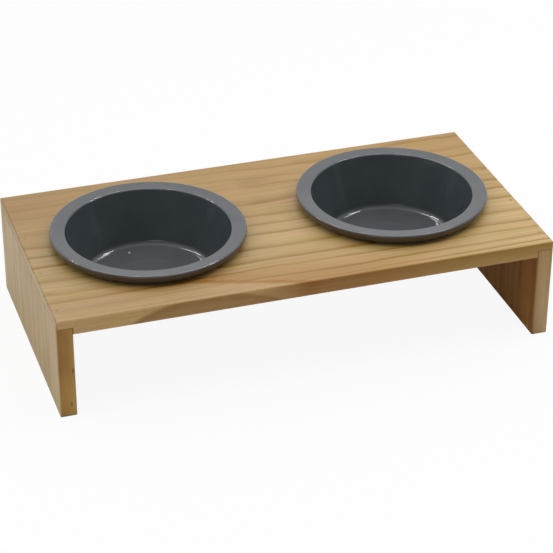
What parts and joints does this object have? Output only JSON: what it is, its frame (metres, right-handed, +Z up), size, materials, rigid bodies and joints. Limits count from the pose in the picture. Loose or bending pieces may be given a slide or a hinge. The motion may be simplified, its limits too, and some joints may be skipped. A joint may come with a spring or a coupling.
{
  "type": "dog feeder stand",
  "caption": "Low bench-shaped wooden feeder stand with rebated legs and round holes that hold drop-in glazed ceramic bowls by their wide rims.",
  "frame": {"origin": "on the floor under the centre of the stand", "axes": "+X along the length of the bench to the right, +Y from front to back, +Z up"},
  "size_m": [0.4, 0.204, 0.0949],
  "materials": {
    "top_wood": "clear matt lacquer over softwood, grain along the length",
    "left_leg_wood": "clear matt lacquer over softwood, grain upright",
    "right_leg_wood": "clear matt lacquer over softwood, grain upright",
    "bowl_glaze": "glossy grey glaze",
    "nail_steel": "bright wire",
    "wood_filler": "sanded wood filler"
  },
  "bodies": {
    "stand": {"top_board": "top_wood", "left_leg": "left_leg_wood", "right_leg": "right_leg_wood", "left_nails": "nail_steel", "right_nails": "nail_steel", "left_nail_fillers": "wood_filler", "right_nail_fillers": "wood_filler"},
    "left_bowl": {"left_bowl": "bowl_glaze"},
    "right_bowl": {"right_bowl": "bowl_glaze"}
  },
  "joints": [
    {"name": "left_bowl_lift", "type": "slide", "parent": "stand", "child": "left_bowl", "axis": [0, 0, 1], "range_m": [0, 0.06]},
    {"name": "right_bowl_lift", "type": "slide", "parent": "stand", "child": "right_bowl", "axis": [0, 0, 1], "range_m": [0, 0.06]}
  ]
}
